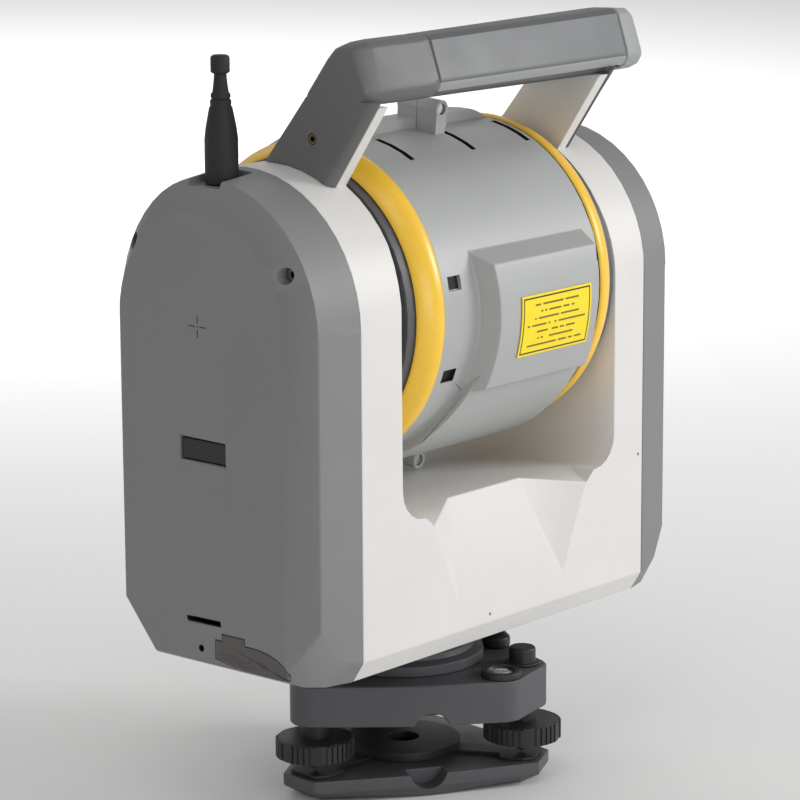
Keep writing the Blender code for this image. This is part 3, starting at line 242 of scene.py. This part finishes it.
def labelFoil():
    # screen-printed polyester foil: flat yellow, an inset black frame and rows of plain grey bars
    material, tree, shader = baseMaterial("labelFoil")
    corner, along, up = labelFrame()
    place = addNode(tree, "ShaderNodeTexCoord").outputs["Object"]
    inside = addNode(tree, "ShaderNodeVectorMath", {"operation": "SUBTRACT"}, {0: place})
    inside.inputs[1].default_value = corner
    u, v = [
        addNode(tree, "ShaderNodeVectorMath", {"operation": "DOT_PRODUCT", 1: side / side.length_squared},
            {0: inside.outputs[0]}).outputs["Value"]
        for side in (along, up)
    ]

    def maths(operation, a, b=0.0):
        node = addNode(tree, "ShaderNodeMath", {"operation": operation})
        for i, value in enumerate((a, b)):
            if isinstance(value, (int, float)):
                node.inputs[i].default_value = value
            else:
                tree.links.new(value, node.inputs[i])
        return node.outputs[0]

    across = maths("MULTIPLY", maths("MINIMUM", u, maths("SUBTRACT", 1.0, u)), labelFace["width"])
    down = maths("MULTIPLY", maths("MINIMUM", v, maths("SUBTRACT", 1.0, v)), labelFace["height"])
    edge = maths("MINIMUM", across, down)
    frameLine = maths("MULTIPLY", maths("GREATER_THAN", edge, labelFace["border"][0]),
        maths("LESS_THAN", edge, labelFace["border"][1]))
    rows = maths("MULTIPLY", v, labelFace["rows"])
    inRow = maths("MULTIPLY", maths("GREATER_THAN", maths("FRACT", rows), 0.34),
        maths("LESS_THAN", maths("FRACT", rows), 0.62))
    rowNumber = maths("FLOOR", rows)
    seed = addNode(tree, "ShaderNodeTexWhiteNoise", {"noise_dimensions": "1D"},
        {"W": rowNumber}).outputs["Value"]
    margin = maths("ADD", 4.5, maths("MULTIPLY", seed, 10.0))
    wide = maths("GREATER_THAN", across, margin)
    tall = maths("GREATER_THAN", down, 3.2)
    cells = addNode(tree, "ShaderNodeCombineXYZ", {}, {"X": maths("MULTIPLY", u, 34.0), "Y": rowNumber})
    breaks = addNode(tree, "ShaderNodeTexWhiteNoise", {"noise_dimensions": "2D"},
        {"Vector": addNode(tree, "ShaderNodeVectorMath", {"operation": "FLOOR"},
        {0: cells.outputs[0]}).outputs[0]})
    solid = maths("GREATER_THAN", breaks.outputs["Value"], 0.16)
    bars = maths("MULTIPLY", maths("MULTIPLY", inRow, wide), maths("MULTIPLY", tall, solid))
    ink = maths("MAXIMUM", frameLine, maths("MULTIPLY", bars, 0.85))
    mix = addNode(tree, "ShaderNodeMix", {"data_type": "RGBA"}, {"Factor": ink})
    mix.inputs["A"].default_value = linearColour(labelFace["yellow"])
    mix.inputs["B"].default_value = linearColour(labelFace["ink"])
    tree.links.new(mix.outputs["Result"], shader.inputs["Base Color"])
    grain = addNode(tree, "ShaderNodeTexNoise", {"Scale": 900.0, "Detail": 2.0},
        {"Vector": addNode(tree, "ShaderNodeTexCoord").outputs["Object"]})
    bump = addNode(tree, "ShaderNodeBump", {"Strength": 0.2, "Distance": 0.00003},
        {"Height": grain.outputs["Fac"]})
    tree.links.new(bump.outputs["Normal"], shader.inputs["Normal"])
    shader.inputs["Roughness"].default_value = 0.38
    return material


materials["labelFoil"] = labelFoil()

# CAD shapes with rounded edges
slotOf = {part["node"]: part["material_slot"] for part in frame["record"]["subparts"]}


def editSelect(obj, kind, test):
    # selects the edges or faces of obj that pass a test, and leaves it in edit mode
    selectOnly(obj)
    bpy.ops.object.mode_set(mode="EDIT")
    bpy.context.tool_settings.mesh_select_mode = (False, kind == "EDGE", kind == "FACE")
    bpy.ops.mesh.select_all(action="DESELECT")
    mesh = bmesh.from_edit_mesh(obj.data)
    found = 0
    for item in (mesh.edges if kind == "EDGE" else mesh.faces):
        if test(item):
            item.select_set(True)
            found += 1
    bmesh.update_edit_mesh(obj.data)
    return found


def leaveEdit():
    bpy.ops.object.mode_set(mode="OBJECT")


def isCrease(edge, degrees, shortest):
    return len(edge.link_faces) == 2 and edge.calc_length() > shortest and edge.calc_face_angle(0) > radians(degrees)


def roundEdges(obj, look):
    width, segments = look["round"]
    shortest, degrees = look.get("shortest", 0.0018), look.get("crease", 24)
    inside = look.get("where", lambda edge: True)
    if editSelect(obj, "EDGE", lambda edge: isCrease(edge, degrees, shortest) and inside(edge)):
        bpy.ops.mesh.bevel(offset=width, segments=segments, profile=0.5, affect="EDGES", clamp_overlap=False)
    leaveEdit()


def mergedCopy(node, name):
    piece = bpy.data.objects.new(name, nodes[node].data.copy())
    bpy.context.scene.collection.objects.link(piece)
    editSelect(piece, "FACE", lambda face: True)
    bpy.ops.mesh.customdata_custom_splitnormals_clear()
    bpy.ops.mesh.remove_doubles(threshold=0.00001)
    bpy.ops.mesh.dissolve_limited(angle_limit=radians(0.6))
    leaveEdit()
    return piece


def settle(obj, degrees=38):
    smoothBy(obj, degrees)
    applyModifier(obj, "WEIGHTED_NORMAL", keep_sharp=True, weight=50)


def paintFaces(obj, material, test):
    obj.data.materials.append(material)
    number = len(obj.data.materials) - 1
    if editSelect(obj, "FACE", test):
        obj.active_material_index = number
        bpy.ops.object.material_slot_assign()
    leaveEdit()


def polishedNode(node, look):
    piece = mergedCopy(node, node + "_skin")
    roundEdges(piece, look)
    settle(piece, look.get("smooth", 38))
    finishPiece(piece, node + "_skin", bodyOf[node], materials[look["material"]], [node])
    for finish, test in look.get("patches", ()):
        paintFaces(piece, materials[finish], test)
    return piece


def midpoint(edge):
    return (edge.verts[0].co + edge.verts[1].co) / 2


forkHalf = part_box("end_flange_right")[1].x + 0.0012
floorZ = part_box("yoke")[0].z + 0.0736


drumCuts = {"slots": (-0.0345, 0.013, 0.0565), "windows": (-0.052, 0.0565), "largest": 0.00012}


def awayFromCorners(edge):
    # the fork's lower corners meet the scooped faces there, too tightly for a fillet
    middle = midpoint(edge)
    return not (0.062 < abs(middle.x) < forkHalf + 0.004 and floorZ - 0.008 < middle.z < floorZ + 0.020)


def onDrum(edge):
    # every edge but those of the slots, windows and lugs
    middle = midpoint(edge)
    beside = abs(middle.x - 0.008) < 0.012 and abs(middle.z - axisZ) > 0.07
    return not (beside or nearTopSlot(middle) or nearWindow(middle))


def nearTopSlot(point):
    return point.z - axisZ > 0.068 and min(abs(point.x - x) for x in drumCuts["slots"]) < 0.0024


def inDrumCut(face, low, high):
    # the floors and walls of the windows and slots cut in the drum, between two radii
    centre = face.calc_center_median()
    radius = Vector((0, centre.y, centre.z - axisZ)).length
    isSmall = face.calc_area() < drumCuts["largest"]
    return isSmall and low < radius < high and (nearWindow(centre) or nearTopSlot(centre))


def inRearCut(face):
    return inDrumCut(face, 0.070, 0.0801)


def nearWindow(point):
    beside = min(abs(point.x - x) for x in drumCuts["windows"]) < 0.0056
    return beside and 0.015 < abs(point.z - axisZ) < 0.033


def inFrontCut(face):
    return inDrumCut(face, 0.076, 0.0846)


def inCoverSlot(face):
    # the speaker slot, the strap hole and the screw wells
    centre = face.calc_center_median()
    low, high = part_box("left_cover")
    return face.calc_area() < 0.00008 and 0.0006 < centre.x - low.x < 0.006 and low.z + 0.004 < centre.z < low.z + 0.030 and abs(centre.y) < 0.014


def onGripLowerBevel(face):
    # the lighter line along the grip's lower front edge: the faces there that face down and forward take the cap's
    # grey
    middle, low = face.calc_center_median(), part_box("handle_grip")[0]
    return middle.y < low.y + 0.0035 and face.normal.z < -0.15 and face.normal.y < -0.15


looks = {
    "yoke": {"material": "silverPowderCoat", "round": (0.0007, 3), "shortest": 0.03,
        "where": awayFromCorners},
    "left_cover": {"material": "greyAbsCover", "round": (0.0010, 3), "shortest": 0.02, "crease": 30,
        "patches": (("shadowBlack", inCoverSlot),)},
    "right_cover": {"material": "greyAbsCover", "round": (0.0010, 3), "shortest": 0.02, "crease": 30},
    "battery_door": {"material": "greyAbsCover", "round": (0.0005, 2)},
    "telescope_rear_shell": {"material": "drumPaint", "round": (0.0007, 3), "shortest": 0.0032,
        "where": onDrum, "patches": (("shadowBlack", inRearCut),)},
    "telescope_front_shell": {"material": "drumPaint", "round": (0.0007, 3), "shortest": 0.0032,
        "where": onDrum, "patches": (("shadowBlack", inFrontCut),)},
    "handle_left_shell": {"material": "handleAbs", "round": (0.0008, 3), "shortest": 0.008, "crease": 34,
        "smooth": 60},
    "handle_grip": {"material": "gripAbs", "round": (0.0014, 3), "shortest": 0.003, "crease": 26,
        "patches": (("capAbs", onGripLowerBevel),)},
    "handle_end_cap": {"material": "capAbs", "round": (0.0012, 3), "shortest": 0.0012, "crease": 30},
    "base_plate": {"material": "darkCasting", "round": (0.0007, 3), "shortest": 0.0025},
    "upper_plate": {"material": "darkCasting", "round": (0.0006, 2), "shortest": 0.0025, "crease": 50},
    "spring_plate": {"material": "blackNylon", "round": (0.0003, 2), "shortest": 0.001},
    "base_flange": {"material": "darkCasting", "round": (0.0004, 2)},
    "end_flange_left": {"material": "darkCasting", "round": (0.0005, 2)},
    "end_flange_right": {"material": "darkCasting", "round": (0.0005, 2)},
    "foot_screw_cap_a": {"material": "blackNylon", "round": (0.0004, 2), "shortest": 0.0005},
    "foot_screw_cap_b": {"material": "blackNylon", "round": (0.0004, 2), "shortest": 0.0005},
    "foot_screw_cap_c": {"material": "blackNylon", "round": (0.0004, 2), "shortest": 0.0005},
    "clamp_knob": {"material": "blackNylon", "round": (0.0008, 3), "shortest": 0.0005, "crease": 15},
    "bubble_housing": {"material": "blackNylon", "round": (0.0003, 2), "shortest": 0.0005},
    "port_flap": {"material": "flapRubber", "round": (0.0005, 2), "shortest": 0.0008},
    "power_key": {"material": "blackNylon", "round": (0.0006, 3)},
    "battery_latch": {"material": "blackNylon", "round": (0.0005, 2)},
    "lens_barrel": {"material": "blackNylon", "round": (0.0003, 2)},
}
for node, look in looks.items():
    polishedNode(node, look)
print("rounded skins made:", len(looks))

plainFinish = {
    "silver_paint": "silverPowderCoat", "grey_paint": "greyAbsCover", "drum_paint": "drumPaint", "yellow_paint": "yellowPolycarbonate",
    "dark_paint": "darkCasting", "handle_grey": "handleAbs", "cap_grey": "capAbs", "black_plastic": "blackNylon",
    "black_rubber": "blackRubber", "steel": "turnedSteel", "brass": "brass", "label_yellow": "labelFoil",
    "board_green": "boardGreen", "glass": "circleGlass",
}
for node, obj in nodes.items():
    obj.data.materials.clear()
    obj.data.materials.append(materials[plainFinish[slotOf[node]]])
for node, finish in {"objective_lens": "coatedLens", "camera_window": "coatedLens",
    "bubble_vial": "levelVial", "handle_screw_left": "bronzeScrew",
    "handle_screw_right": "bronzeScrew"}.items():
    nodes[node].data.materials[0] = materials[finish]

# turned and moulded details
def turnedPiece(name, look, rows):
    # a solid of revolution built upwards from its lowest ring: rows are (radius, height)
    place, steps = look["place"], look.get("steps", 48)
    bpy.ops.mesh.primitive_circle_add(vertices=steps, radius=rows[0][0], fill_type="NGON",
        location=(*place[:2], place[2] + rows[0][1]))
    piece = bpy.context.object
    piece.name = name
    applyPlace(piece)
    selectOnly(piece)
    bpy.ops.object.mode_set(mode="EDIT")
    bpy.context.tool_settings.mesh_select_mode = (False, False, True)
    bpy.ops.mesh.select_all(action="SELECT")
    for (radius, height), (nextRadius, nextHeight) in zip(rows, rows[1:]):
        bpy.ops.mesh.extrude_region_move(TRANSFORM_OT_translate={"value": (0, 0, nextHeight - height)})
        share = nextRadius / radius
        bpy.ops.transform.resize(value=(share, share, 1), center_override=(*place[:2], place[2] + nextHeight))
    bpy.ops.mesh.select_all(action="SELECT")
    bpy.ops.mesh.normals_make_consistent(inside=False)
    bpy.ops.object.mode_set(mode="OBJECT")
    return piece


antennaLook = {"place": tuple((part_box("antenna")[0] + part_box("antenna")[1]) / 2)[:2] + (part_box("antenna")[0].z,), "steps": 56, "round": 0.00025}
antennaRows = [
    (7.4, 0), (8.1, 0.8), (8.1, 21.5), (7.5, 26.5), (6.5, 32.0), (5.7, 36.0), (5.45, 36.7), (5.0,
        37.5), (4.95, 37.9), (5.1, 38.1), (5.1, 39.8), (4.8, 40.3),
    (4.35, 40.6), (4.4, 41.0), (4.75, 41.3), (4.75, 42.8), (4.4, 43.3), (3.9, 44.0), (3.45, 47.5), (3.1,
        50.8), (3.0, 52.3), (3.3, 52.7), (4.2, 53.1), (4.6, 53.7),
    (4.6, 60.0), (4.2, 61.0), (3.3, 61.5),
]
antenna = turnedPiece("antennaWhip", antennaLook,
    [(radius / 1000, height / 1000) for radius, height in antennaRows])
settle(antenna, 50)
finishPiece(antenna, "antennaWhip", bodyOf["antenna"], materials["blackRubber"],
    ["antenna"])
print("antenna made")

ringRows = [
    (80.3, 0.0), (81.0, 0.3), (81.35, 1.2), (81.37, 3.0), (81.2, 4.6), (80.8, 6.2), (80.1, 7.8), (79.2,
        9.3), (78.2, 10.7), (77.2, 11.9), (76.4, 12.7), (75.7, 13.3),
    (75.1, 13.6), (74.4, 13.68),
]


def yellowRing(node, side):
    # the moulded bumper ring: a soft shoulder that falls away to the dark flange
    low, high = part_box(node)
    ring = turnedPiece(node, {"place": (0, 0, 0), "steps": 160},
        [(radius / 1000, height / 1000) for radius, height in ringRows])
    editSelect(ring, "FACE", lambda face: abs(face.normal.z) > 0.99 and len(face.verts) > 8)
    bpy.ops.mesh.delete(type="FACE")
    leaveEdit()
    selectOnly(ring)
    bpy.ops.object.mode_set(mode="EDIT")
    bpy.ops.mesh.select_all(action="SELECT")
    bpy.ops.transform.rotate(value=-side * pi / 2, orient_axis="Y", center_override=(0, 0, 0))
    bpy.ops.transform.translate(value=(low.x if side > 0 else high.x, 0, axisZ))
    leaveEdit()
    if abs(ring.bound_box[0][0] - low.x) > 0.002:
        print("ring turned the other way:", node, ring.bound_box[0][0], low.x)
    applyModifier(ring, "SOLIDIFY", thickness=0.0012, offset=-1.0)
    editSelect(ring, "FACE", lambda face: True)
    bpy.ops.mesh.normals_make_consistent(inside=False)
    leaveEdit()
    smoothBy(ring, 50)
    finishPiece(ring, node + "_skin", bodyOf[node], materials["yellowPolycarbonate"], [node])


yellowRing("ring_left", -1)
yellowRing("ring_right", 1)
print("rings made")

knobLook = {"radius": 0.0193, "ridge": 0.0009, "low": 0.0216, "high": 0.0314, "steps": 120, "groups": 6,
    "perGroup": 5, "bore": 0.0172}


def knobGrip(name, centre, body):
    # a moulded band round the levelling knob: groups of upright ribs with smooth lands between
    look = knobLook
    tall = look["high"] - look["low"]
    bpy.ops.mesh.primitive_cylinder_add(vertices=look["steps"], radius=look["radius"], depth=tall,
        end_fill_type="NOTHING", location=(*centre, look["low"] + tall / 2))
    band = bpy.context.object
    band.name = name
    applyPlace(band)
    share = (look["radius"] + look["ridge"]) / look["radius"]
    each = look["steps"] // look["groups"]

    def isRib(face):
        middle = face.calc_center_median()
        number = int((atan2(middle.y - centre[1],
            middle.x - centre[0]) % (2 * pi)) / (2 * pi) * look["steps"])
        inGroup = number % each
        return inGroup < 3 * look["perGroup"] and inGroup % 3 != 2

    editSelect(band, "FACE", isRib)
    bpy.ops.mesh.extrude_region_move()
    bpy.ops.transform.resize(value=(share, share, 0.9), center_override=(*centre, look["low"] + tall / 2))
    leaveEdit()
    applyModifier(band, "SOLIDIFY", thickness=look["radius"] - look["bore"], offset=-1.0)
    editSelect(band, "FACE", lambda face: True)
    bpy.ops.mesh.normals_make_consistent(inside=False)
    leaveEdit()
    applyModifier(band, "BEVEL", width=0.00018, segments=2, limit_method="ANGLE", angle_limit=radians(40))
    settle(band, 40)
    finishPiece(band, name, body, materials["blackNylon"])


for letter in "abc":
    screw = "foot_screw_" + letter
    low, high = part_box(screw)
    knobGrip("knobGrip_" + letter, ((low.x + high.x) / 2, (low.y + high.y) / 2), bodyOf[screw])
print("knob grips made")

markLook = {"width": 0.012, "height": 0.011, "gap": 0.0016, "line": 0.00038, "deep": 0.0003}


def axisMark():
    # the engraved height mark: four short strokes round a dot
    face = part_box("left_cover")[0].x
    reachY, reachZ = markLook["width"] / 2, markLook["height"] / 2
    strokes = [((0, side * (reachZ + markLook["gap"]) / 2),
        (markLook["line"], reachZ - markLook["gap"])) for side in (-1, 1)]
    strokes += [((side * (reachY + markLook["gap"]) / 2, 0),
        (reachY - markLook["gap"], markLook["line"])) for side in (-1, 1)]
    strokes.append(((0, 0), (markLook["line"] * 1.6, markLook["line"] * 1.6)))
    bars = []
    for (y, z), (wide, tall) in strokes:
        bpy.ops.mesh.primitive_cube_add(size=1, location=(face, y, axisZ + z),
            scale=(markLook["deep"], wide, tall))
        bars.append(bpy.context.object)
        applyPlace(bars[-1])
    selectOnly(*bars)
    bpy.ops.object.join()
    mark = bars[0]
    applyModifier(mark, "BEVEL", width=0.00007, segments=2, limit_method="ANGLE")
    smoothBy(mark, 40)
    finishPiece(mark, "axisMark", bodyOf["left_cover"], materials["shadowBlack"])


axisMark()
print("axis mark made")

socketLook = {"deep": 0.0003}


def hexSocket(node, axisSign, across):
    # the recess of a socket screw, seen as a small dark hexagon with a worn rim
    low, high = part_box(node)
    face = low.x if axisSign < 0 else high.x
    bpy.ops.mesh.primitive_cylinder_add(vertices=6, radius=across, depth=socketLook["deep"],
        location=(face, (low.y + high.y) / 2, (low.z + high.z) / 2), rotation=(0, pi / 2, 0))
    socket = bpy.context.object
    applyPlace(socket)
    editSelect(socket, "FACE", lambda face: face.normal.x * axisSign > 0.9)
    bpy.ops.mesh.inset(thickness=across * 0.16, depth=0)
    bpy.ops.mesh.inset(thickness=across * 0.06, depth=-socketLook["deep"] / 2)
    leaveEdit()
    applyModifier(socket, "BEVEL", width=0.00005, segments=2, limit_method="ANGLE")
    finishPiece(socket, "socket_" + node, bodyOf[node], materials["shadowBlack"])


for node, axisSign, across in (("handle_screw_left", -1, 0.0015), ("handle_screw_right", 1, 0.0015),
    ("cover_screw_left_front", -1, 0.0018), ("cover_screw_left_rear", -1, 0.0018),
    ("cover_screw_right_front", 1, 0.0018), ("cover_screw_right_rear", 1, 0.0018)):
    hexSocket(node, axisSign, across)
print("screw sockets made")

dimpleLook = {"radius": 0.0008, "deep": 0.0003, "steps": 20,
    "places": {"low": (-0.0178, 0.1000), "high": (0.1052, 0.1605)}}


def faceDimple(name, x, z):
    # a small plugged hole in the yoke's face
    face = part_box("yoke")[0].y
    bpy.ops.mesh.primitive_cylinder_add(vertices=dimpleLook["steps"], radius=dimpleLook["radius"],
        depth=dimpleLook["deep"], location=(x, face, z), rotation=(pi / 2, 0, 0))
    dimple = bpy.context.object
    applyPlace(dimple)
    editSelect(dimple, "FACE", lambda face: face.normal.y < -0.9)
    bpy.ops.mesh.inset(thickness=dimpleLook["radius"] * 0.3, depth=-dimpleLook["deep"] / 3)
    leaveEdit()
    smoothBy(dimple, 30)
    finishPiece(dimple, name, bodyOf["yoke"], materials["greyAbsCover"])


for name, place in dimpleLook["places"].items():
    faceDimple("yokeDimple_" + name, *place)
print("dimples made")

waveLook = {"wire": 0.00032, "points": 28, "amplitude": 0.0011, "waves": 1.6,
    "lines": ((0.0968, -0.0125, -0.0440), (0.0945, -0.0125, -0.0490))}


def flapWave(number, height, start, end):
    # a raised wavy bead moulded into the flap's outer face
    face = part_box("port_flap")[0].x
    count = waveLook["points"]
    path = []
    for i in range(count):
        share = i / (count - 1)
        path.append((face, start + (end - start) * share,
            height + waveLook["amplitude"] * sin(2 * pi * waveLook["waves"] * share)))
    bpy.ops.mesh.primitive_circle_add(vertices=8, radius=waveLook["wire"], fill_type="NGON",
        location=path[0], rotation=(pi / 2, 0, 0))
    bead = bpy.context.object
    applyPlace(bead)
    selectOnly(bead)
    bpy.ops.object.mode_set(mode="EDIT")
    bpy.context.tool_settings.mesh_select_mode = (False, False, True)
    bpy.ops.mesh.select_all(action="SELECT")
    for before, after in zip(path, path[1:]):
        step = Vector(after) - Vector(before)
        bpy.ops.mesh.extrude_region_move(TRANSFORM_OT_translate={"value": tuple(step)})
    bpy.ops.mesh.select_all(action="SELECT")
    bpy.ops.mesh.normals_make_consistent(inside=False)
    leaveEdit()
    smoothBy(bead, 60)
    finishPiece(bead, f"flapWave_{number}", bodyOf["port_flap"], materials["flapRubber"])


for number, (height, start, end) in enumerate(waveLook["lines"]):
    flapWave(number, height, start, end)
print("flap beads made")

# stage, lights and camera
stageLook = {"floorSize": 12.0, "world": "F5F5F4", "worldStrength": 0.5}
bpy.ops.mesh.primitive_plane_add(size=stageLook["floorSize"], location=(0, 0, -0.0004))
floor = bpy.context.object
floor.name = "studioFloor"
floor.data.materials.append(materials["studioFloor"])

world = bpy.data.worlds.new("studio")
bpy.context.scene.world = world
world.use_nodes = True
background = world.node_tree.nodes["Background"]
background.inputs["Color"].default_value = linearColour(stageLook["world"])
background.inputs["Strength"].default_value = stageLook["worldStrength"]

lamps = {
    "keyRight": {"place": (1.85, -1.95, 1.15), "size": 0.9, "power": 33},
    "lowFront": {"place": (-0.9, -2.5, 0.45), "size": 1.2, "power": 13},
    "backdrop": {"place": (1.3, 1.9, 1.7), "size": 2.0, "power": 55, "aim": (1.9, 2.6, 0)},
    "topLeft": {"place": (-1.1, -0.9, 2.2), "size": 0.9, "power": 4},
}
for name, lamp in lamps.items():
    bpy.ops.object.light_add(type="AREA", location=lamp["place"])
    light = bpy.context.object
    light.name = name
    light.data.size = lamp["size"]
    light.data.energy = lamp["power"]
    light.rotation_euler = (Vector(lamp.get("aim",
        (0, 0, 0.2))) - Vector(lamp["place"])).to_track_quat("-Z", "Y").to_euler()

view = {"eye": (-1.2999, -1.1146, 0.5614), "target": (-0.00121, 0.0, 0.19714), "roll": -0.295, "lens": 153.5}
bpy.ops.object.camera_add(location=view["eye"])
camera = bpy.context.object
aim = (Vector(view["target"]) - Vector(view["eye"])).to_track_quat("-Z", "Y").to_matrix()
camera.rotation_euler = (aim @ Matrix.Rotation(radians(view["roll"]), 3, "Z")).to_euler()
camera.data.lens = view["lens"]
camera.data.sensor_width = 36
camera.data.clip_end = 30
bpy.context.scene.camera = camera
bpy.context.scene.view_settings.view_transform = "Standard"
print("stage ready")
